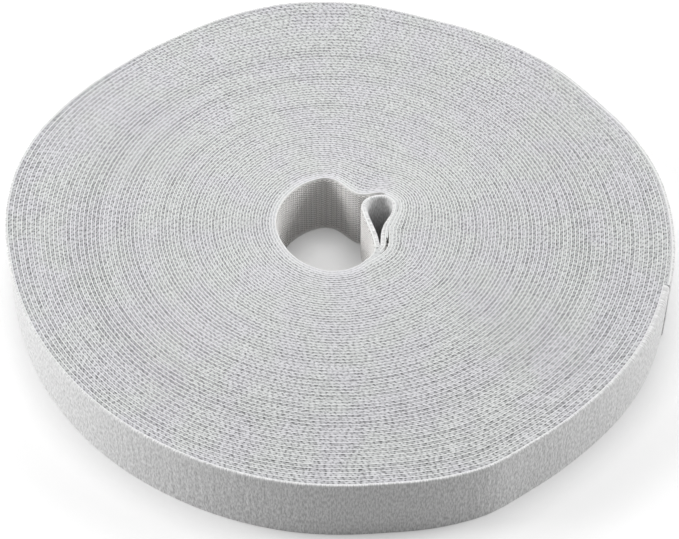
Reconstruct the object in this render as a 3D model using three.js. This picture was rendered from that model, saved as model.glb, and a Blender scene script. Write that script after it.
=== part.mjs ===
import * as THREE from 'three';

// A coreless roll of back-to-back hook and loop tape, lying on its side.
// Millimetres and degrees, +Z up along the roll's axis, z = 0 on the surface it rests on.
// The hook ply faces the bore and the loop ply faces out. Seen from above, the tape winds
// clockwise from the bore to the rim, so the hook ply is on the right of its path all the way.

// Tape
const TAPE_WIDTH = 19;
const HOOK_PLY = 0.32;
const LOOP_PLY = 0.32;
const BOND_GAP = 0.35;

// Winding: each loop stands for several turns of the tape, and thins to one turn at both ends
const BORE_RADIUS = 16;
const TURNS = 74;
const LOOPS = 22;
const LOOP_STEPS = 24;
const TURN_GAP = 0.69;
const START_ANGLE = -45;

// The bore is out of round: dents and a bulge of its wall, each a smooth rise over an angle,
// with its height as a share of the bore's radius
const BORE_WAVES = [
  { at: 74, halfWidth: 30, rise: -0.36 },
  { at: -24, halfWidth: 48, rise: -0.2 },
  { at: -100, halfWidth: 45, rise: 0.1 },
];

// Slack that the turns gather between the bore and the rim, in the same way
const SLACK_WAVES = [
  { at: 38, halfWidth: 28, rise: -0.07 },
  { at: 87, halfWidth: 48, rise: 0.33 },
  { at: 165, halfWidth: 45, rise: 0.26 },
  { at: -62, halfWidth: 36, rise: 0.18 },
  { at: -22, halfWidth: 38, rise: 0.31 },
];

// Inner end: folded back as a teardrop, with its bulb against the wall of the bore
const BULB_RADIUS = 3.9;
const BULB_ANGLE = 29;
const LEG_GAP = 0.5;
const NECK_BEND = 2.5;
const NECK_STEPS = 4;
const FOLD_CLEARANCE = 0.5;
const FOLD_STEPS = 7;

// Outer end: loose lengths of tape, the last one lifted off the roll
const TAIL_LENGTHS = 4;
const TAIL_ANGLE = -15;
const TAIL_LIFT = 1;
const LENGTH_GAP = 0.3;

// Finish
const PLY_COLOURS = { hook: 0xb9b8b4, loop: 0xc6c7c6 };
const PLY_ROUGHNESS = 0.95;

const TAPE_THICKNESS = HOOK_PLY + BOND_GAP + LOOP_PLY;
const STEP_ANGLE = 360 / LOOP_STEPS;
const PAST_START = THREE.MathUtils.euclideanModulo(START_ANGLE - TAIL_ANGLE, 360) / STEP_ANGLE;
const TAIL_END = Math.round((LOOPS - 1) * LOOP_STEPS + PAST_START);
const TAIL_START = TAIL_END - TAIL_LENGTHS;

// Room beside the neck for the other leg of the fold
const NECK_DEPTH = TAPE_THICKNESS + LEG_GAP + FOLD_CLEARANCE - TURN_GAP;

const angleAt = (step) => START_ANGLE - step * STEP_ANGLE;

function polar(angle, radius) {
  const turn = THREE.MathUtils.degToRad(angle);
  return new THREE.Vector2(radius * Math.cos(turn), radius * Math.sin(turn));
}

function toward(from, to, distance) {
  return to.clone().sub(from).setLength(distance).add(from);
}

function waveHeight(waves, angle) {
  let height = 0;
  for (const { at, halfWidth, rise } of waves) {
    const off = THREE.MathUtils.euclideanModulo(angle - at + 180, 360) - 180;
    const share = Math.min(Math.abs(off) / halfWidth, 1);
    height += (rise / 2) * (1 + Math.cos(Math.PI * share));
  }
  return BORE_RADIUS * height;
}

// Turns of tape in the winding at a step: one at its ends, its full share a loop away from them
function turnsAt(step) {
  const fromEnd = Math.min(step, Math.max(TAIL_START - step, 0));
  return THREE.MathUtils.lerp(1, TURNS / LOOPS, THREE.MathUtils.smoothstep(fromEnd, 0, LOOP_STEPS));
}

const thicknessAt = (step) => (HOOK_PLY + LOOP_PLY) * turnsAt(step) + BOND_GAP;

const neckDip = (step) => NECK_DEPTH * Math.max(1 - step / NECK_STEPS, 0) ** 2;

// Radius of the hook face at each step. Each loop lies on the one below, plus its share of slack.
function hookFaceRadii() {
  const radii = [];
  for (let step = 0; step <= TAIL_END; step += 1) {
    const angle = angleAt(step);
    const below = step - LOOP_STEPS;
    if (below < 0) {
      const spiral = (step / LOOP_STEPS) * (thicknessAt(0) + TURN_GAP);
      radii.push(BORE_RADIUS + spiral + waveHeight(BORE_WAVES, angle) - neckDip(step));
    } else {
      const slack = waveHeight(SLACK_WAVES, angle) / LOOPS;
      radii.push(radii[below] + neckDip(below) + thicknessAt(below) + TURN_GAP + slack);
    }
  }
  radii[TAIL_END] += TAIL_LIFT;
  return radii;
}

const HOOK_FACE = hookFaceRadii();

// A ply's right and left points across its path at a step
function plyPoints(ply, step) {
  const turns = turnsAt(step);
  const hookBack = HOOK_FACE[step] + HOOK_PLY * turns;
  const loopBack = hookBack + BOND_GAP;
  const radii = {
    hook: [HOOK_FACE[step], hookBack],
    loop: [loopBack, loopBack + LOOP_PLY * turns],
  };
  return radii[ply].map((radius) => polar(angleAt(step), radius));
}

// A closed ribbon as wide as the tape, through stations that each hold a right and a left point
function ribbon(stations) {
  const corners = [];
  for (const [right, left] of stations) {
    corners.push(right.x, right.y, 0, left.x, left.y, 0);
    corners.push(right.x, right.y, TAPE_WIDTH, left.x, left.y, TAPE_WIDTH);
  }
  const faces = [];
  const quad = (a, b, c, d) => faces.push(a, b, c, a, c, d);
  const last = 4 * (stations.length - 1);
  quad(1, 0, 2, 3);
  for (let here = 0; here < last; here += 4) {
    const next = here + 4;
    quad(here, next, next + 2, here + 2);
    quad(next + 1, here + 1, here + 3, next + 3);
    quad(here + 3, here + 2, next + 2, next + 3);
    quad(next + 1, next, here, here + 1);
  }
  quad(last, last + 1, last + 3, last + 2);
  const geometry = new THREE.BufferGeometry();
  geometry.setAttribute('position', new THREE.Float32BufferAttribute(corners, 3));
  geometry.setIndex(faces);
  geometry.computeVertexNormals();
  return geometry;
}

// Shortens the stations' last station by half a hinge's gap
function trimEnd(stations) {
  const before = stations.at(-2);
  const trim = (point, side) => toward(point, before[side], LENGTH_GAP / 2);
  return [...stations.slice(0, -1), stations.at(-1).map(trim)];
}

// Winding: an unbroken spiral from the neck of the fold to the first hinge of the tail
function windingStations(ply) {
  const stations = [];
  for (let step = 0; step <= TAIL_START; step += 1) stations.push(plyPoints(ply, step));
  return trimEnd(stations);
}

// Tail: one straight length for each step, hinged to the one before it
function tailStations(ply, length) {
  const start = TAIL_START + length;
  const reversed = trimEnd([plyPoints(ply, start + 1), plyPoints(ply, start)]);
  const stations = reversed.reverse();
  return length + 1 < TAIL_LENGTHS ? trimEnd(stations) : stations;
}

// Where a line from a point outside a circle touches it, on one side of the way to the centre
function tangentPoint(centre, radius, from, side) {
  const way = from.clone().sub(centre);
  const turn = way.angle() + side * Math.acos(radius / way.length());
  return new THREE.Vector2(Math.cos(turn), Math.sin(turn)).multiplyScalar(radius).add(centre);
}

// Middle of the tape along the inner fold: up one leg, round the bulb, and down to the neck
function foldPath() {
  const onward = polar(START_ANGLE - 90, 1);
  const neckRadius = HOOK_FACE[0] + TAPE_THICKNESS / 2;
  const neck = polar(START_ANGLE, neckRadius).addScaledVector(onward, -LENGTH_GAP);
  const bend = neck.clone().addScaledVector(onward, -NECK_BEND);

  const bulbStep = THREE.MathUtils.euclideanModulo(START_ANGLE - BULB_ANGLE, 360) / STEP_ANGLE;
  const wall = Math.min(HOOK_FACE[Math.floor(bulbStep)], HOOK_FACE[Math.ceil(bulbStep)]);
  const wallChord = wall * Math.cos(THREE.MathUtils.degToRad(STEP_ANGLE / 2));
  const bulb = polar(BULB_ANGLE, wallChord - FOLD_CLEARANCE - TAPE_THICKNESS / 2 - BULB_RADIUS);

  const left = tangentPoint(bulb, BULB_RADIUS, bend, -1);
  const bendStart = toward(bend, left, NECK_BEND);
  const legWay = left.clone().sub(bend);
  const beside = new THREE.Vector2(legWay.y, -legWay.x).setLength(TAPE_THICKNESS + LEG_GAP);
  const tip = bendStart.clone().add(beside);
  const right = tangentPoint(bulb, BULB_RADIUS, tip, 1);
  const [rightTurn, leftTurn] = [right, left].map((point) => point.clone().sub(bulb).angle());

  const path = new THREE.Path();
  path.moveTo(tip.x, tip.y);
  path.lineTo(right.x, right.y);
  path.absarc(bulb.x, bulb.y, BULB_RADIUS, rightTurn, leftTurn, false);
  path.lineTo(bendStart.x, bendStart.y);
  path.quadraticCurveTo(bend.x, bend.y, neck.x, neck.y);
  return { points: path.getPoints(FOLD_STEPS), onward };
}

function foldStations(ply) {
  const { points, onward } = foldPath();
  const offsets = {
    hook: [BOND_GAP / 2 + HOOK_PLY, BOND_GAP / 2],
    loop: [-BOND_GAP / 2, -BOND_GAP / 2 - LOOP_PLY],
  }[ply];
  return points.map((point, i) => {
    const before = points[i - 1] ?? point;
    const after = points[i + 1] ?? point.clone().add(onward);
    const way = after.clone().sub(before).normalize();
    const side = new THREE.Vector2(way.y, -way.x);
    return offsets.map((offset) => point.clone().addScaledVector(side, offset));
  });
}

const roll = new THREE.Group();

function addPly(ply, stretch, stations) {
  const finish = { color: PLY_COLOURS[ply], roughness: PLY_ROUGHNESS, metalness: 0 };
  const mesh = new THREE.Mesh(ribbon(stations), new THREE.MeshStandardMaterial(finish));
  mesh.name = `${ply}_ply_${stretch}`;
  roll.add(mesh);
}

for (const ply of Object.keys(PLY_COLOURS)) {
  addPly(ply, 'winding', windingStations(ply));
  addPly(ply, 'inner_fold', foldStations(ply));
  for (let length = 0; length < TAIL_LENGTHS; length += 1) {
    addPly(ply, `tail_${length + 1}`, tailStations(ply, length));
  }
}

// Least distance from one ply's left face to another's right face, one loop further out
function leastGap(innerPly, outerPly) {
  const inside = windingStations(innerPly).map(([, left]) => new THREE.Vector3(left.x, left.y));
  const outside = windingStations(outerPly).map(([right]) => new THREE.Vector3(right.x, right.y));
  const nearest = new THREE.Vector3();
  let least = Infinity;
  for (let step = 1; step + LOOP_STEPS < outside.length; step += 1) {
    const facing = new THREE.Line3(outside[step + LOOP_STEPS - 1], outside[step + LOOP_STEPS]);
    const middle = inside[step - 1].clone().lerp(inside[step], 0.5);
    for (const point of [inside[step - 1], middle, inside[step]]) {
      facing.closestPointToPoint(point, true, nearest);
      least = Math.min(least, nearest.distanceTo(point));
    }
  }
  return least.toFixed(2);
}

console.log(`least gap of the hook ply to itself: ${leastGap('hook', 'hook')} mm`);
console.log(`least gap of the loop ply to itself: ${leastGap('loop', 'loop')} mm`);
console.log(`least gap of the tape to itself: ${leastGap('loop', 'hook')} mm`);

export default roll;
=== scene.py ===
import math
from collections import namedtuple

import bpy
import numpy as np
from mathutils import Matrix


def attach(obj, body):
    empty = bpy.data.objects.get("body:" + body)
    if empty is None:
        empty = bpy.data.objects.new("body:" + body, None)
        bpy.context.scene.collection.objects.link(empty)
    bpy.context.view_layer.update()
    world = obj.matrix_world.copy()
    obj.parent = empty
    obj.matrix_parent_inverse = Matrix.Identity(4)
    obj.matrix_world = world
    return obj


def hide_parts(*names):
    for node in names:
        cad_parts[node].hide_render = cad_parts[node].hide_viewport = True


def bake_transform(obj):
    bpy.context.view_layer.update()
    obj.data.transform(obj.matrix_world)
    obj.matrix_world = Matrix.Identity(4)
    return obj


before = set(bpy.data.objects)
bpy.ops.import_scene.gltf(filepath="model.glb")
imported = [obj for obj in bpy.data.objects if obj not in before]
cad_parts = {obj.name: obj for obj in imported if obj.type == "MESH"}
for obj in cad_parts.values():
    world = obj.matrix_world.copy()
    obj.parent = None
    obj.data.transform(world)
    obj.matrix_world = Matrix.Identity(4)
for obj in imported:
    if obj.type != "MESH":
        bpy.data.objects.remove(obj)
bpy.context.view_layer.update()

# A coreless roll of back-to-back hook and loop tape, lying on its side, in metres.
# The hook strip faces the bore and the loop strip faces out. Seen from above, the tape winds
# clockwise from its folded inner end to its loose outer end, so the hooks are on its right.

MM = 0.001
SEED = 19

# Tape: two woven grounds bonded back to back, with hooks on one face and loop pile on the other
TAPE_WIDTH = 19 * MM
GROUND = 0.13 * MM
CLEAR = 0.02 * MM

# Hooks: bent filaments, as (out, along) points in mm from the root to the tip, in staggered rows
HOOK_SHAPE = [(0, -0.26), (0.16, -0.26), (0.26, -0.12), (0.26, 0.12), (0.15, 0.26)]
HOOK_HALF_WIRE = 0.09 * MM
HOOK_HALF_WIDTH = 0.15 * MM
HOOK_HEIGHT = 0.36 * MM
HOOK_PITCH = 1.5 * MM
HOOK_ROW = 0.39 * MM
HOOK_FACE = 0.04 * MM
SELVAGE = 0.8 * MM

# Free loop pile: its thickness in each place, the share of it that is left at the tape's edges, and
# upright streaks of fibre that are so many steps and rows long. The rows crowd towards the edges.
FREE_PILE = 0.55 * MM
FOLDED_PILE = 0.55 * MM
FLUFFED_PILE = 1.1 * MM
PRESSED_PILE = 0.08 * MM
PILE_STEP = 0.26 * MM
PILE_ROWS = 40
PILE_ROW_CROWDING = 0.6
PILE_AT_TOP_EDGE = 0.35
PILE_AT_BOTTOM_EDGE = 0.8
STREAK_STEPS = 3
STREAK_ROWS = 7
STREAK_AT_EDGE = 0.01 * MM
STREAK_GROWTH = 0.015 * MM

# Caught pile between turns: a row of tufts, with pits along both sides, each some steps from the next.
# Pits and ranges are shares of the full depth. Some long arcs are sunk, and few of them deeply.
# Near the bore and on the hooks the pile is packed, so the pits are partly filled.
# The same shares set the caught pile's painted shade, darker in deeper pits.
CAUGHT_STEP = 0.425 * MM
CAUGHT_JITTER = 0.12
LOOP_STEPS = 4
HOOK_STEPS = 3
LOOP_PITS = 0.6
HOOK_PITS = 0.5
PIT_DEPTH = 0.1 * MM
SIDE_RANGE = (0.12, 0.42)
TUFT_RANGE = (0.05, 0.45)
ODD_TUFTS = 0.03
SUNK_LENGTH = 110 * MM
SUNK_PIT = 0.12
SUNK_RARITY = 3
PACKED_LENGTH = 300 * MM
PACKED_PITS = 0.5
FRINGE = 0.8 * MM
PRESSED_FRINGE = 0.6 * MM

# Winding: the radius is that of the bond between the two strips
START_ANGLE = -45
TAIL_ANGLE = -15
TURNS = 73 + (START_ANGLE - TAIL_ANGLE) % 360 / 360
BORE_RADIUS = 16.6 * MM
INNER_PITCH = 0.70 * MM
OUTER_PITCH = 1.151 * MM
STEPS_IN_TURN = 150
LENGTH_TABLE = 4000
BORE_TURNS = 1.04
BORE_STEP = 0.4 * MM
MESHED_START = 0.003
MESHED_PIECES = 4

# How far the turns stand off the plain spiral, as (degrees, mm), at the bore, midway and at the rim
BORE_OUTLINE = [(-150, 0), (-125, 0.6), (-100, 1.1), (-84, 0.4), (-73, -0.5), (-64, -1.6), (-48, -1.8),
                (-40, -1.9), (-30, -2.8), (-20, -4), (-9, -4.5), (2, -3.5), (9, -2.5), (16, -1.3),
                (26, -0.2), (33, -0.6), (43, -1.5), (47, -2.5), (51, -3.7), (55, -5), (61, -5.8),
                (67, -6), (73, -5.6), (80, -4.8), (88, -3.1), (96, -1.4), (105, -0.3), (125, 0)]
MIDDLE_OUTLINE = [(-170, 0.5), (-40, 0.5), (5, -0.8), (30, -1.9), (55, -2.4), (80, -1.9), (120, 0),
                  (150, 0.5)]
RIM_OUTLINE = [(0, 0.5), (12, 0.4), (22, -0.6), (33, -2), (45, -1.6), (58, -2), (72, -2.1), (79, -0.9),
               (86, 0.9), (100, 2.3), (110, 1.6), (123, 0.1), (136, 0.3), (148, 1.6), (158, 2.9),
               (168, 3), (178, 2.1), (189, 0.5), (198, 0), (215, -0.4), (240, -0.2), (262, 0.7),
               (277, 0.8), (286, 2.1), (294, 2.7), (302, 1.2), (314, 0.7), (330, 0.9), (345, 0.5)]

# Outlines are kept at steps of so many degrees and smoothed over a window of so many steps.
# The bore's and the rim's fade towards the middle turns by a power.
OUTLINE_STEP = 0.5
OUTLINE_WINDOW = 19
BORE_FADE = 4
RIM_FADE = 6

# Inner end: the middle of the tape from its tip, round the bulb, to the neck, in mm.
# Shares are of the length from the tip to the neck.
FOLD_POINTS = [(10.1, -10.4), (11.2, -8.6), (11.5, -6.4), (11.7, -3.8), (12.1, -1.4), (12.9, 0.7),
               (13.8, 2.9), (14.3, 5.2), (14.1, 7.3), (12.7, 8.9), (10.9, 9.5), (9.1, 9.3), (7.3, 8.5),
               (6.1, 7.1), (5.8, 5.2), (6.2, 3), (6.9, 0.5), (7.7, -2), (8.4, -4.6), (8.8, -6.8)]
FOLD_CURVE_STEPS = 24
FOLD_STEP = 0.3 * MM
NECK_DIP = 1.9 * MM
NECK_TURNS = 0.06
NECK_LENGTH = 4.5 * MM
PRESSED_SHARES = (0.11, 0.5)
FLUFF_ENDS = (0.15, 0.35)
FLUFF_BEGINS = (0.5, 0.65)

# Outer end: four loose lengths that peel off the roll. The pile thins out towards the end of the tape,
# and next to that end the pile of the rim is ruffled, which fades between two counts of turns.
TAIL_LENGTHS = 4
TAIL_STEP = 15 / 360
TAIL_START = TURNS - TAIL_LENGTHS * TAIL_STEP
TAIL_LIFT = 0.15 * MM
TAIL_GAP = 0.02 * MM
TAIL_THINNING = 0.5
TAIL_THINNED_LENGTH = 8 * MM
RUFFLE = 0.8 * MM
RUFFLE_LEAN = 0.2
RUFFLE_FADE = (0.02, 0.1)

# Materials: cells of noise in a metre, along the tape and across it
THREAD_CELLS = (2600, 1500)
STREAK_CELLS = (2800, 750)
FILAMENT_CELLS = (900, 900)
TINTS_IN_METRE = 90

# Stage: a pale floor that glows where it is seen directly and open, so its glow fades near the roll as
# painted shadow, under three softboxes
FLOOR_HALF = 3
FLOOR_DROP = 0.05 * MM
FLOOR_GLOW = 0.5
PAINTED_SHADOW_REACH = 9 * MM
FAR_GLOW = 0.5
FAR_GLOW_START = 0.3
FAR_GLOW_FULL = 1.2
AMBIENT = 0.19
SOFTBOXES = [("back_softbox", (0, 0.85, 0.5), 0.6, 2.7),
             ("left_softbox", (-0.83, 0.06, 0.52), 0.5, 8.5),
             ("right_softbox", (0.85, 0.14, 0.48), 0.5, 6.8)]

# Camera, fitted to the photograph
PHOTO_WIDTH = 679
FOCAL_PIXELS = 2244.8
SENSOR_WIDTH = 36
NEAREST_SEEN = 0.01
CAMERA_PLACE = (-0.00022, -0.40133, 0.43889)
CAMERA_ELEVATION = 47.52

Stretch = namedtuple("Stretch", "xy right along")
Part = namedtuple("Part", "points faces tape material")


# Plan of the tape

def smoothstep(value, low, high):
    t = np.clip((value - low) / (high - low), 0, 1)
    return t * t * (3 - 2 * t)


def between(places, along, points):
    """Plan points at places along a line of them."""
    return np.stack([np.interp(places, along, points[:, axis]) for axis in range(2)], axis=1)


def outline(points):
    """A closed smooth outline through (degrees, mm) points: gives metres at any angle in degrees."""
    angles = np.arange(0, 360, OUTLINE_STEP)
    known = np.array(points, float)
    plain = np.interp(angles, known[:, 0], known[:, 1] * MM, period=360)
    window = np.hanning(OUTLINE_WINDOW)
    half = OUTLINE_WINDOW // 2
    wrapped = np.concatenate([plain[-half:], plain, plain[:half]])
    smooth = np.convolve(wrapped, window / window.sum(), "valid")
    return lambda degrees: np.interp(degrees, angles, smooth, period=360)


bore_outline = outline(BORE_OUTLINE)
middle_outline = outline(MIDDLE_OUTLINE)
rim_outline = outline(RIM_OUTLINE)


def winding_radius(turns):
    """Radius of the bond at a count of turns from the neck."""
    degrees = START_ANGLE - 360 * turns
    share = np.clip(turns / TURNS, 0, 1)
    near_bore = (1 - share) ** BORE_FADE
    near_rim = share ** RIM_FADE
    stands = near_bore * bore_outline(degrees) + near_rim * rim_outline(degrees)
    stands += (1 - near_bore - near_rim) * middle_outline(degrees)
    spiral = BORE_RADIUS + turns * (INNER_PITCH + (OUTER_PITCH - INNER_PITCH) * turns / (2 * TURNS))
    dip = NECK_DIP * np.clip(1 - turns / NECK_TURNS, 0, 1) ** 2
    lift = TAIL_LIFT * smoothstep(turns, TURNS - TAIL_STEP, TURNS)
    return spiral + stands - dip + lift


def tape_length(turns):
    """Length of tape wound up to a count of turns, on the plain spiral."""
    growth = (OUTER_PITCH - INNER_PITCH) / TURNS
    return 2 * math.pi * (BORE_RADIUS * turns + INNER_PITCH * turns ** 2 / 2 + growth * turns ** 3 / 6)


def equal_lengths(start, end, count):
    """Counts of turns that cut the tape between two others into a count of equal lengths."""
    table = np.linspace(start, end, LENGTH_TABLE)
    lengths = tape_length(table)
    return np.interp(np.linspace(lengths[0], lengths[-1], count + 1), lengths, table)


def even_turns(start, end, spacing):
    """Counts of turns at an even spacing along the tape."""
    return equal_lengths(start, end, round((tape_length(end) - tape_length(start)) / spacing))


def stretch_along(xy, along):
    """A stretch of tape along plan points, with the direction to its right at each."""
    way = np.gradient(xy, axis=0)
    way /= np.linalg.norm(way, axis=1, keepdims=True)
    return Stretch(xy, np.stack([way[:, 1], -way[:, 0]], axis=1), along)


def wound(turns):
    """The stretch of the winding at counts of turns."""
    angle = np.radians(START_ANGLE) - 2 * math.pi * turns
    xy = winding_radius(turns)[:, None] * np.stack([np.cos(angle), np.sin(angle)], axis=1)
    return stretch_along(xy, tape_length(turns))


def fold_curve():
    """A smooth curve through the points of the inner end, which meets the winding at the neck."""
    neck = wound(np.linspace(0, NECK_TURNS, 3)).xy
    tip_to_neck = np.array(FOLD_POINTS) * MM
    knots = np.vstack([tip_to_neck, neck])
    t = np.linspace(0, 1, FOLD_CURVE_STEPS, endpoint=False)[:, None]
    curve = [knots[:1]]
    for before, start, end, after in zip(knots, knots[1:], knots[2:], knots[3:len(tip_to_neck) + 2]):
        bend = 2 * before - 5 * start + 4 * end - after
        twist = 3 * (start - end) + after - before
        curve.append(start + t * (end - before) / 2 + t ** 2 * bend / 2 + t ** 3 * twist / 2)
    return np.vstack([*curve, neck[:1]])


def folded(spacing):
    """The inner end of the tape, from its tip to the neck, at an even spacing."""
    curve = fold_curve()
    run = np.concatenate([[0], np.cumsum(np.linalg.norm(np.diff(curve, axis=0), axis=1))])
    even = np.linspace(0, run[-1], round(run[-1] / spacing) + 1)
    return stretch_along(between(even, run, curve), even - run[-1])


def cut(stretch, first, last):
    return Stretch(*(values[first:last] for values in stretch))


def moved(stretch, offset):
    return Stretch(stretch.xy + stretch.right * offset[:, None], stretch.right, stretch.along)


def points_at(stretch, offset, height):
    """Points at an offset to the right of the bond and at a height, each one number or one a place."""
    offset = np.broadcast_to(offset, stretch.along.shape)
    height = np.broadcast_to(height, stretch.along.shape)
    return np.column_stack([stretch.xy + stretch.right * offset[:, None], height])


# Materials

def new_material(name):
    material = bpy.data.materials.new(name)
    material.use_nodes = True
    return material, material.node_tree.nodes, material.node_tree.links


def calculated(nodes, links, operation, first, second):
    """What a math node makes of a socket and another socket or a number."""
    node = nodes.new("ShaderNodeMath")
    node.operation = operation
    links.new(first, node.inputs[0])
    if isinstance(second, float):
        node.inputs[1].default_value = second
    else:
        links.new(second, node.inputs[1])
    return node.outputs["Value"]


def tape_vector(nodes):
    """Place along the tape, height across it, and painted shade, as the mesh gives them."""
    tape = nodes.new("ShaderNodeAttribute")
    tape.attribute_name = "tape"
    return tape.outputs["Vector"]


def tape_value(nodes, links, axis):
    parts = nodes.new("ShaderNodeSeparateXYZ")
    links.new(tape_vector(nodes), parts.inputs["Vector"])
    return parts.outputs[axis]


def tape_noise(nodes, links, cells, detail=2):
    """Noise in the tape's own coordinates: cells in a metre along the tape, and across it."""
    stretched = nodes.new("ShaderNodeVectorMath")
    stretched.operation = "MULTIPLY"
    stretched.inputs[1].default_value = (*cells, 0)
    links.new(tape_vector(nodes), stretched.inputs[0])
    noise = nodes.new("ShaderNodeTexNoise")
    noise.noise_dimensions = "2D"
    noise.inputs["Scale"].default_value = 1
    noise.inputs["Detail"].default_value = detail
    links.new(stretched.outputs["Vector"], noise.inputs["Vector"])
    return noise.outputs["Fac"]


def colour_ramp(nodes, links, factor, stops):
    ramp = nodes.new("ShaderNodeValToRGB")
    for stop in stops[2:]:
        ramp.color_ramp.elements.new(stop[0])
    for element, (place, colour) in zip(ramp.color_ramp.elements, stops):
        element.position = place
        element.color = (*colour, 1)
    links.new(factor, ramp.inputs["Fac"])
    return ramp.outputs["Color"]


def bump(nodes, links, height, strength, distance):
    node = nodes.new("ShaderNodeBump")
    node.inputs["Strength"].default_value = strength
    node.inputs["Distance"].default_value = distance
    links.new(height, node.inputs["Height"])
    return node.outputs["Normal"]


def thread_bump(nodes, links):
    """The fine relief of woven cloth."""
    return bump(nodes, links, tape_noise(nodes, links, THREAD_CELLS), 0.5, 0.1 * MM)


def from_edge(nodes, links, reach):
    """0 at the tape's edges, rising to 1 at a reach in from them."""
    inset = calculated(nodes, links, "PINGPONG", tape_value(nodes, links, "Y"), TAPE_WIDTH / 2)
    return calculated(nodes, links, "DIVIDE", inset, reach)


def tinted(nodes, links, colour):
    """A colour with a faint drift of tint over the roll, between greenish and violet greys."""
    place = nodes.new("ShaderNodeTexCoord")
    drift = nodes.new("ShaderNodeTexNoise")
    drift.inputs["Scale"].default_value = TINTS_IN_METRE
    drift.inputs["Detail"].default_value = 1
    links.new(place.outputs["Object"], drift.inputs["Vector"])
    greenish, violet = (0.985, 1, 0.98), (0.985, 0.98, 1)
    tint = colour_ramp(nodes, links, drift.outputs["Fac"], [(0.4, greenish), (0.6, violet)])
    product = nodes.new("ShaderNodeMixRGB")
    product.blend_type = "MULTIPLY"
    product.inputs["Fac"].default_value = 1
    links.new(colour, product.inputs["Color1"])
    links.new(tint, product.inputs["Color2"])
    return product.outputs["Color"]


def ground_material():
    """Woven nylon ground: a pale cut edge, painted shade on the face beside it where it shows in the
    pits between turns, and the plain face further in.
    """
    material, nodes, links = new_material("woven_ground")
    shader = nodes["Principled BSDF"]
    edge, painted_face_shade, face = (0.82, 0.82, 0.825), (0.42, 0.42, 0.42), (0.72, 0.715, 0.70)
    # The dark band just in from the edge is painted shade, for the ground's sides that show in the
    # pits between turns.
    stops = [(0.02, edge), (0.05, painted_face_shade), (0.45, painted_face_shade), (0.8, face)]
    inward = colour_ramp(nodes, links, from_edge(nodes, links, 2 * MM), stops)
    links.new(tinted(nodes, links, inward), shader.inputs["Base Color"])
    links.new(thread_bump(nodes, links), shader.inputs["Normal"])
    shader.inputs["Roughness"].default_value = 0.8
    return material


def meshed_material():
    """Caught hooks and pile: pale tufts, and painted shade, darker towards the bottom of the pits."""
    material, nodes, links = new_material("meshed_pile")
    shader = nodes["Principled BSDF"]
    tuft, painted_slope_shade, painted_pit_shade = (0.67, 0.67, 0.685), (0.345, 0.345, 0.355), (0.05, 0.05, 0.052)
    stops = [(0.15, tuft), (0.47, painted_slope_shade), (0.77, painted_pit_shade)]
    # Colour follows each point's pit depth: painted shade, darkest at the bottom of the pits.
    stipple = colour_ramp(nodes, links, tape_value(nodes, links, "Z"), stops)
    links.new(tinted(nodes, links, stipple), shader.inputs["Base Color"])
    shader.inputs["Roughness"].default_value = 0.9
    return material


def pile_material():
    """Brushed loop pile: soft, with fine upright streaks."""
    material, nodes, links = new_material("loop_pile")
    shader = nodes["Principled BSDF"]
    streak = tape_noise(nodes, links, STREAK_CELLS, 3)
    stops = [(0.36, (0.58, 0.58, 0.58)), (0.64, (0.86, 0.86, 0.86))]
    links.new(colour_ramp(nodes, links, streak, stops), shader.inputs["Base Color"])
    links.new(bump(nodes, links, streak, 0.4, 0.15 * MM), shader.inputs["Normal"])
    shader.inputs["Roughness"].default_value = 0.95
    shader.inputs["Sheen Weight"].default_value = 0.15
    return material


def hook_face_material():
    """Ground between the hooks: a pale selvage brightened with painted light, and painted shade darker
    where the hooks stand.
    """
    material, nodes, links = new_material("hook_face")
    shader = nodes["Principled BSDF"]
    # The selvage is the tape's pale edge, brightened further as painted light; the darker cloth among
    # the hooks is painted shade.
    stops = [(0.3, (0.94, 0.94, 0.93)), (0.8, (0.62, 0.61, 0.6))]
    inward = colour_ramp(nodes, links, from_edge(nodes, links, 2 * SELVAGE), stops)
    links.new(inward, shader.inputs["Base Color"])
    links.new(thread_bump(nodes, links), shader.inputs["Normal"])
    shader.inputs["Roughness"].default_value = 0.9
    return material


def hook_material():
    """Nylon filament of the hooks."""
    material, nodes, links = new_material("hook_filament")
    shader = nodes["Principled BSDF"]
    vary = tape_noise(nodes, links, FILAMENT_CELLS)
    stops = [(0.3, (0.88, 0.87, 0.86)), (0.7, (0.95, 0.94, 0.93))]
    links.new(colour_ramp(nodes, links, vary, stops), shader.inputs["Base Color"])
    shader.inputs["Roughness"].default_value = 0.5
    return material


GROUND_CLOTH = ground_material()
MESHED_PILE = meshed_material()
LOOP_PILE = pile_material()
HOOK_CLOTH = hook_face_material()
HOOK_FILAMENT = hook_material()


# Parts of a piece, each with one material

def tube_faces(sections, around):
    """Quads of a closed tube of sections, each an even loop of points, with both ends closed."""
    ring = np.arange(around)
    after = (ring + 1) % around
    starts = np.arange(sections - 1)[:, None] * around
    ends = starts + around
    walls = np.stack([starts + ring, starts + after, ends + after, ends + ring], axis=-1)
    inward = np.arange(around // 2 - 1)
    cap = np.stack([inward, inward + 1, around - 2 - inward, around - 1 - inward], axis=-1)
    return np.vstack([cap[:, ::-1], walls.reshape(-1, 4), cap + (sections - 1) * around])


def tube_part(stretch, lines, material, painted_shades=0):
    """A closed part from lines of points along a stretch, with a painted shade for each point."""
    points = np.stack(lines, axis=1)
    along = np.repeat(stretch.along, points.shape[1])
    painted_shade = np.broadcast_to(painted_shades, points.shape[:2]).ravel()
    flat = points.reshape(-1, 3)
    tape = np.stack([along, flat[:, 2], painted_shade], axis=1)
    return Part(flat, tube_faces(*points.shape[:2]), tape, material)


def ribbon_part(stretch, right, left, material):
    """A ribbon of the tape's width, between two offsets."""
    corners = [(right, TAPE_WIDTH), (right, 0), (left, 0), (left, TAPE_WIDTH)]
    return tube_part(stretch, [points_at(stretch, *corner) for corner in corners], material)


def ground_part(stretch, strip):
    """The woven ground of one strip, on its own side of the bond."""
    right, left = (GROUND, 0) if strip == "hook" else (0, -GROUND)
    return ribbon_part(stretch, right, left, GROUND_CLOTH)


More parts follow.
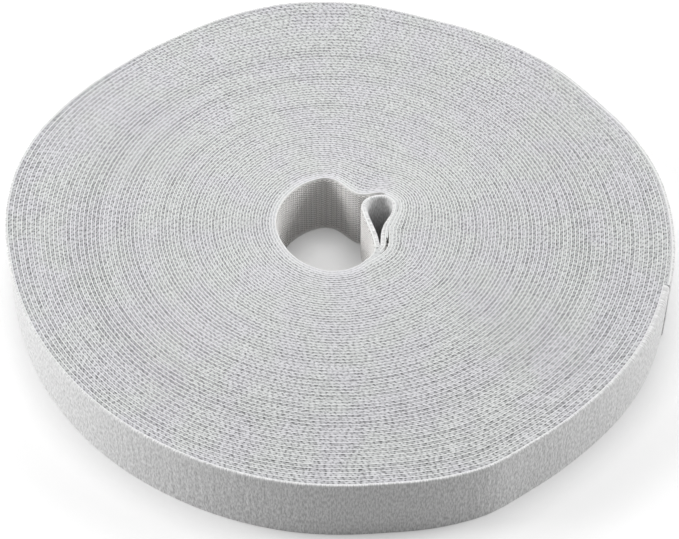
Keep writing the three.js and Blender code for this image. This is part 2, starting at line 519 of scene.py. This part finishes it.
def pile_streaks(count, rng):
    """Streaks of fibre at a count of places along the tape and at every row of pile across it."""
    streaks = rng.normal(size=(count + STREAK_STEPS - 1, PILE_ROWS + STREAK_ROWS - 1))
    for axis, reach in enumerate((STREAK_STEPS, STREAK_ROWS)):
        window = np.hanning(reach + 2)[1:-1]
        window /= np.linalg.norm(window)
        streaks = np.apply_along_axis(np.convolve, axis, streaks, window, "valid")
    return streaks


def pile_part(stretch, thickness, rng, lean=0):
    """Brushed loop pile on the left face: upright streaks of fibre, rounded over at the tape's edges.

    A lean makes it thicker by that share at the top.
    """
    across = np.cos(np.linspace(0, math.pi, PILE_ROWS))
    heights = TAPE_WIDTH / 2 - (TAPE_WIDTH / 2) * np.sign(across) * np.abs(across) ** PILE_ROW_CROWDING
    streaks = pile_streaks(len(stretch.along), rng)
    lines = [points_at(stretch, -GROUND, TAPE_WIDTH), points_at(stretch, -GROUND, 0)]
    for row, height in enumerate(heights):
        inset = min(height, TAPE_WIDTH - height)
        over = np.clip(inset / thickness, 0, 1)
        at_edge = PILE_AT_TOP_EDGE if height > TAPE_WIDTH / 2 else PILE_AT_BOTTOM_EDGE
        rounded = at_edge + (1 - at_edge) * np.sqrt(over * (2 - over))
        leaned = thickness * (1 + lean * height / TAPE_WIDTH)
        proud = leaned * rounded + (STREAK_AT_EDGE + STREAK_GROWTH * over) * streaks[:, row]
        lines.append(points_at(stretch, -GROUND - proud, height))
    return tube_part(stretch, lines, LOOP_PILE)


def hook_sides():
    """The inner and the outer side of a hook's bent wire."""
    shape = np.array(HOOK_SHAPE) * MM
    way = np.gradient(shape, axis=0)
    side = np.stack([-way[:, 1], way[:, 0]], axis=1) / np.linalg.norm(way, axis=1, keepdims=True)
    return shape - side * HOOK_HALF_WIRE, shape + side * HOOK_HALF_WIRE


def hook_row(stretch, roots, height, facing):
    """Points of a row of hooks that face on (1) or back (-1) along the tape: hook, section, corner."""
    inner, outer = hook_sides()
    xy = between(roots, stretch.along, stretch.xy)
    out = between(roots, stretch.along, stretch.right)
    on = np.stack([-out[:, 1], out[:, 0]], axis=1) * facing
    corners = []
    for side, rise in ((inner, 1), (inner, -1), (outer, -1), (outer, 1)):
        plan = xy[:, None] + out[:, None] * (GROUND + side[:, :1]) + on[:, None] * side[:, 1:]
        level = np.full((*plan.shape[:2], 1), height + rise * HOOK_HALF_WIDTH)
        corners.append(np.concatenate([plan, level], axis=2))
    return np.stack(corners, axis=2)


def hooks_part(stretch):
    """Rows of bent filament hooks on the right face, with every other row set half a pitch along.

    The pitch is fitted to the stretch, so that the rows go on evenly in the next one.
    """
    length = stretch.along[-1] - stretch.along[0]
    in_row = round(length / HOOK_PITCH)
    rows = round((TAPE_WIDTH - 2 * SELVAGE) / HOOK_ROW)
    points = []
    for row, height in enumerate(np.linspace(SELVAGE, TAPE_WIDTH - SELVAGE, rows)):
        odd = row % 2
        places = np.arange(in_row) + 1 / 4 + odd / 2
        roots = stretch.along[0] + length / in_row * places
        points.append(hook_row(stretch, roots, height, 1 - 2 * odd))
    hooks = np.concatenate(points)
    count, sections, around = hooks.shape[:3]
    one = tube_faces(sections, around)
    faces = (one[None] + np.arange(count)[:, None, None] * sections * around).reshape(-1, 4)
    flat = hooks.reshape(-1, 3)
    return Part(flat, faces, flat, HOOK_FILAMENT)


def hook_face_parts(stretch):
    """The free face of the hook strip: its cloth with a selvage, and the hooks."""
    return [ribbon_part(stretch, GROUND + HOOK_FACE, GROUND, HOOK_CLOTH), hooks_part(stretch)]


def strip_parts(stretch, strip, pile, rng):
    """One strip with its face free: hooks, or loop pile of a thickness."""
    ground = ground_part(stretch, strip)
    if strip == "hook":
        return [ground, *hook_face_parts(stretch)]
    return [ground, pile_part(stretch, pile, rng)]


def caught_turns(start, end, rng):
    """Counts of turns at every step of the caught pile, a little uneven."""
    turns = even_turns(start, end, CAUGHT_STEP)
    turns[1:-1] += rng.uniform(-CAUGHT_JITTER, CAUGHT_JITTER, len(turns) - 2) * np.diff(turns)[1:]
    return turns


def caught_pits(along, rng):
    """Depths of the caught pile at places along the tape, which also set its painted shade: loop side,
    tufts between, hook side.
    """
    count = len(along)
    knots = np.arange(along[0], along[-1] + SUNK_LENGTH, SUNK_LENGTH)
    sunk = np.interp(along, knots, SUNK_PIT * rng.uniform(0, 1, len(knots)) ** SUNK_RARITY)
    place = np.arange(count)
    by_pitch = np.stack([place % LOOP_STEPS == 0, place % HOOK_STEPS == 0])
    in_pit = by_pitch ^ (rng.uniform(0, 1, (2, count)) < ODD_TUFTS)
    added = np.array([[LOOP_PITS], [HOOK_PITS]]) * in_pit
    loop_side, hook_side = sunk + added + rng.uniform(*SIDE_RANGE, (2, count))
    tufts = sunk + rng.uniform(*TUFT_RANGE, count)
    return np.stack([loop_side, tufts, hook_side]).clip(0, 1)


def caught_part(stretch, right, left, low, high, opened, rng):
    """Hooks and pile caught in each other: a row of tufts, with pits along both sides of it that are
    painted darker as shade.

    The pits are opened to a share of their depth.
    """
    pits = opened * caught_pits(stretch.along, rng)
    offsets = (right, (right + left) / 2, left)
    drops = PIT_DEPTH * pits
    tops = [points_at(stretch, offset, high - drop) for offset, drop in zip(offsets, drops)]
    bottoms = [points_at(stretch, offset, low + drop) for offset, drop in zip(offsets, drops)]
    lines = [tops[0], *bottoms, tops[2], tops[1]]
    # Each point's pit depth is also its painted shade.
    painted_shades = np.stack([pits[0], *pits, pits[2], pits[1]], axis=1)
    return tube_part(stretch, lines, MESHED_PILE, painted_shades)


def room_outside(turns, next_strip):
    """Offset to where the next turn's hook strip, of a thickness, begins."""
    return winding_radius(turns) - winding_radius(turns + 1) + next_strip + CLEAR


def meshed_part(start, end, next_strip, rng):
    """What fills the room between a turn and the next one's hook strip, of a thickness."""
    turns = caught_turns(start, end, rng)
    stretch = wound(turns)
    loosened = smoothstep(stretch.along, PACKED_LENGTH / 4, PACKED_LENGTH)
    opened = PACKED_PITS + (1 - PACKED_PITS) * loosened
    sides = (-GROUND - CLEAR, room_outside(turns, next_strip))
    return caught_part(stretch, *sides, 0, TAPE_WIDTH, opened, rng)


def fringe_parts(stretch, thickness, rng):
    """Caught pile on the hooks along both edges of the tape."""
    sides = (GROUND + thickness, GROUND)
    edges = ((0, FRINGE), (TAPE_WIDTH - FRINGE, TAPE_WIDTH))
    return [caught_part(stretch, *sides, *edge, PACKED_PITS, rng) for edge in edges]


# Pieces

def make_piece(name, parts):
    """One mesh object from parts, each with its own material. Only loop pile is shaded smooth."""
    sizes = np.cumsum([0] + [len(part.points) for part in parts])
    points = np.concatenate([part.points for part in parts])
    faces = np.concatenate([part.faces + size for part, size in zip(parts, sizes)])
    tape = np.concatenate([part.tape for part in parts])
    slots = np.concatenate([np.full(len(part.faces), slot) for slot, part in enumerate(parts)])
    smooth = np.concatenate([np.full(len(part.faces), part.material == LOOP_PILE) for part in parts])
    mesh = bpy.data.meshes.new(name)
    mesh.vertices.add(len(points))
    mesh.vertices.foreach_set("co", points.astype(np.float32).ravel())
    mesh.loops.add(faces.size)
    mesh.loops.foreach_set("vertex_index", faces.astype(np.int32).ravel())
    mesh.polygons.add(len(faces))
    mesh.polygons.foreach_set("loop_start", np.arange(0, faces.size, 4, dtype=np.int32))
    mesh.polygons.foreach_set("material_index", slots.astype(np.int32))
    mesh.polygons.foreach_set("use_smooth", smooth)
    mesh.update(calc_edges=True)
    attribute = mesh.attributes.new("tape", "FLOAT_VECTOR", "POINT")
    attribute.data.foreach_set("vector", tape.astype(np.float32).ravel())
    for part in parts:
        mesh.materials.append(part.material)
    piece = bpy.data.objects.new(name, mesh)
    bpy.context.collection.objects.link(piece)
    return piece


def add_grounds():
    """The woven grounds of both strips, all the way up to the tail."""
    whole = wound(np.linspace(0, TAIL_START, round(TAIL_START * STEPS_IN_TURN)))
    for strip in ("hook", "loop"):
        piece = make_piece(f"{strip}_strip_winding", [ground_part(whole, strip)])
        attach(piece, "roll")
        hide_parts(f"{strip}_ply_winding")


def add_bore_hooks():
    bore = wound(even_turns(0, BORE_TURNS, BORE_STEP))
    hooks = make_piece("hook_rows_bore", hook_face_parts(bore))
    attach(hooks, "roll")


def add_meshed_pile(rng):
    """The caught pile between turns, in pieces of equal length."""
    ends = equal_lengths(MESHED_START, TAIL_START - 1, MESHED_PIECES)
    for number, (start, end) in enumerate(zip(ends, ends[1:]), 1):
        meshed = make_piece(f"meshed_pile_{number}", [meshed_part(start, end, GROUND, rng)])
        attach(meshed, "roll")


def pressed_parts(rng):
    """What lies under the tail: caught pile, and loop pile pressed flat on it."""
    start, end = TAIL_START - 1, TURNS - 1
    under_tail = GROUND + HOOK_HEIGHT + PRESSED_PILE
    filling = meshed_part(start, end, under_tail, rng)
    turns = even_turns(start, end, PILE_STEP)
    skin = moved(wound(turns), room_outside(turns, under_tail) + GROUND)
    return [filling, pile_part(skin, PRESSED_PILE, rng)]


def rim_pile_part(rng):
    """The free pile of the rim, from the end of the tail round to its root, ruffled at the start."""
    turns = even_turns(TURNS - 1, TAIL_START, PILE_STEP)
    rim = wound(turns)
    first = int(np.searchsorted(rim.along, rim.along[0] + TAIL_GAP))
    fade_start, fade_end = (TURNS - 1 + fade for fade in RUFFLE_FADE)
    ruffled = 1 - smoothstep(turns[first:], fade_start, fade_end)
    return pile_part(cut(rim, first, None), FREE_PILE + RUFFLE * ruffled, rng, RUFFLE_LEAN * ruffled)


def add_band(rng):
    """The outermost turn's loop face."""
    pressed = pressed_parts(rng)
    band = make_piece("loop_pile_band", [rim_pile_part(rng), *pressed])
    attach(band, "roll")


def share_of_fold(stretch):
    """Place along the fold, from 0 at the tip to 1 at the neck."""
    return 1 - stretch.along / stretch.along[0]


def pressed_leg():
    """The length of the fold that lies against the wall of the bore."""
    tufts = folded(CAUGHT_STEP)
    return cut(tufts, *np.searchsorted(share_of_fold(tufts), PRESSED_SHARES))


def add_inner_fold(rng):
    """The fold rides on its own body, and its neck, between that and the roll, is made where it lies
    and rides on no body.
    """
    whole = folded(FOLD_STEP)
    neck_start = int(np.searchsorted(whole.along, -NECK_LENGTH))
    fold = cut(whole, 0, neck_start + 1)
    neck = cut(whole, neck_start, None)
    share = share_of_fold(whole)
    fluffed = 1 - smoothstep(share, *FLUFF_ENDS) + smoothstep(share, *FLUFF_BEGINS)
    pile = FOLDED_PILE + (FLUFFED_PILE - FOLDED_PILE) * fluffed
    for strip in ("hook", "loop"):
        parts = strip_parts(fold, strip, pile[:neck_start + 1], rng)
        if strip == "hook":
            parts += fringe_parts(pressed_leg(), PRESSED_FRINGE, rng)
        piece = make_piece(f"{strip}_strip_fold", parts)
        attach(piece, "inner_fold")
        bend = make_piece(f"{strip}_strip_neck", strip_parts(neck, strip, pile[neck_start:], rng))
        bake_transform(bend)
        for part in (piece, bend):
            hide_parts(f"{strip}_ply_inner_fold")


def add_tail_length(number, first, last, middle, bodies, rng):
    """One length of the tail, from its first to its last turns. The bodies are not used."""
    stretch = wound(even_turns(first, last, PILE_STEP))
    fringe = wound(caught_turns(first, last, rng))
    tape_end = tape_length(TURNS)
    thinned = smoothstep(stretch.along, tape_end - TAIL_THINNED_LENGTH, tape_end)
    pile = FREE_PILE * (1 - TAIL_THINNING * thinned)
    start, end = points_at(wound(np.array([first, middle])), 0, TAPE_WIDTH / 2)
    for strip in ("hook", "loop"):
        parts = strip_parts(stretch, strip, pile, rng)
        if strip == "hook":
            parts += fringe_parts(fringe, HOOK_HEIGHT, rng)
        piece = make_piece(f"{strip}_strip_tail_{number}", parts)
        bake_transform(piece)
        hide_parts(f"{strip}_ply_tail_{number}")


def add_tail(rng):
    """The lengths of the tail, which meet at the middles of its steps."""
    middles = TAIL_START + TAIL_STEP * (np.arange(TAIL_LENGTHS) + 1 / 2)
    ends = [TAIL_START, *middles[:-1], TURNS]
    bodies = ["roll", *(f"tail_{number}" for number in range(1, TAIL_LENGTHS + 1))]
    for place, middle in enumerate(middles):
        add_tail_length(place + 1, *ends[place:place + 2], middle, bodies[place:place + 2], rng)


# Stage, light and camera

def seen_directly(nodes, links):
    """1 on rays that show the backdrop itself, and 0 on rays that light the object."""
    path = nodes.new("ShaderNodeLightPath")
    seen = path.outputs["Is Camera Ray"]
    for kind in ("Is Glossy Ray", "Is Transmission Ray"):
        seen = calculated(nodes, links, "MAXIMUM", seen, path.outputs[kind])
    return seen


def far_glow(nodes, links):
    """Glow far out on the floor, where the light of the softboxes falls off."""
    place = nodes.new("ShaderNodeTexCoord")
    away = nodes.new("ShaderNodeVectorMath")
    away.operation = "LENGTH"
    links.new(place.outputs["Object"], away.inputs[0])
    far = nodes.new("ShaderNodeMapRange")
    far.inputs["From Min"].default_value = FAR_GLOW_START
    far.inputs["From Max"].default_value = FAR_GLOW_FULL
    far.inputs["To Max"].default_value = FAR_GLOW
    links.new(away.outputs["Value"], far.inputs["Value"])
    return far.outputs["Result"]


def floor_material():
    """A pale matt floor that glows where it is seen directly, but not close to the roll, where the
    fading glow is a painted shadow.
    """
    material, nodes, links = new_material("floor")
    shader = nodes["Principled BSDF"]
    shader.inputs["Roughness"].default_value = 1
    shader.inputs["Specular IOR Level"].default_value = 0
    shader.inputs["Emission Color"].default_value = (1, 1, 1, 1)
    seen = seen_directly(nodes, links)
    stops = [(0, (0.64, 0.64, 0.64)), (1, (0.6, 0.6, 0.6))]
    links.new(colour_ramp(nodes, links, seen, stops), shader.inputs["Base Color"])
    # Ambient occlusion dims the glow beside the roll: a painted contact shadow on the floor.
    painted_contact_shadow = nodes.new("ShaderNodeAmbientOcclusion")
    painted_contact_shadow.inputs["Distance"].default_value = PAINTED_SHADOW_REACH
    near_glow = calculated(nodes, links, "MULTIPLY", painted_contact_shadow.outputs["AO"], FLOOR_GLOW)
    glow = calculated(nodes, links, "ADD", near_glow, far_glow(nodes, links))
    seen_glow = calculated(nodes, links, "MULTIPLY", glow, seen)
    links.new(seen_glow, shader.inputs["Emission Strength"])
    return material


def add_floor():
    mesh = bpy.data.meshes.new("floor")
    corners = [(-FLOOR_HALF, -FLOOR_HALF), (FLOOR_HALF, -FLOOR_HALF),
               (FLOOR_HALF, FLOOR_HALF), (-FLOOR_HALF, FLOOR_HALF)]
    mesh.from_pydata([(x, y, -FLOOR_DROP) for x, y in corners], [], [(0, 1, 2, 3)])
    mesh.materials.append(floor_material())
    floor = bpy.data.objects.new("floor", mesh)
    bpy.context.collection.objects.link(floor)


def add_world():
    """White where it is seen directly, and a weak even light on the object."""
    world = bpy.data.worlds.new("studio")
    world.use_nodes = True
    nodes, links = world.node_tree.nodes, world.node_tree.links
    ambient = nodes["Background"]
    ambient.inputs["Color"].default_value = (1, 1, 1, 1)
    ambient.inputs["Strength"].default_value = AMBIENT
    backdrop = nodes.new("ShaderNodeBackground")
    backdrop.inputs["Color"].default_value = (1, 1, 1, 1)
    mix = nodes.new("ShaderNodeMixShader")
    links.new(seen_directly(nodes, links), mix.inputs["Fac"])
    links.new(ambient.outputs["Background"], mix.inputs[1])
    links.new(backdrop.outputs["Background"], mix.inputs[2])
    links.new(mix.outputs["Shader"], nodes["World Output"].inputs["Surface"])
    bpy.context.scene.world = world


def add_softbox(name, place, size, power):
    """A square area light that points at the middle of the floor."""
    lamp = bpy.data.lights.new(name, "AREA")
    lamp.size = size
    lamp.energy = power
    box = bpy.data.objects.new(name, lamp)
    box.location = place
    azimuth = math.atan2(place[1], place[0])
    tilt = math.atan2(math.hypot(place[0], place[1]), place[2])
    box.rotation_euler = (0, tilt, azimuth)
    bpy.context.collection.objects.link(box)


def add_camera():
    data = bpy.data.cameras.new("camera")
    data.sensor_width = SENSOR_WIDTH
    data.sensor_fit = "HORIZONTAL"
    data.lens = SENSOR_WIDTH * FOCAL_PIXELS / PHOTO_WIDTH
    data.clip_start = NEAREST_SEEN
    camera = bpy.data.objects.new("camera", data)
    camera.location = CAMERA_PLACE
    camera.rotation_euler = (math.radians(90 - CAMERA_ELEVATION), 0, 0)
    bpy.context.collection.objects.link(camera)
    bpy.context.scene.camera = camera


bpy.context.scene.view_settings.view_transform = "Standard"
add_camera()
add_world()
for softbox in SOFTBOXES:
    add_softbox(*softbox)
add_floor()
random = np.random.default_rng(SEED)
add_grounds()
add_bore_hooks()
add_meshed_pile(random)
add_band(random)
add_inner_fold(random)
add_tail(random)
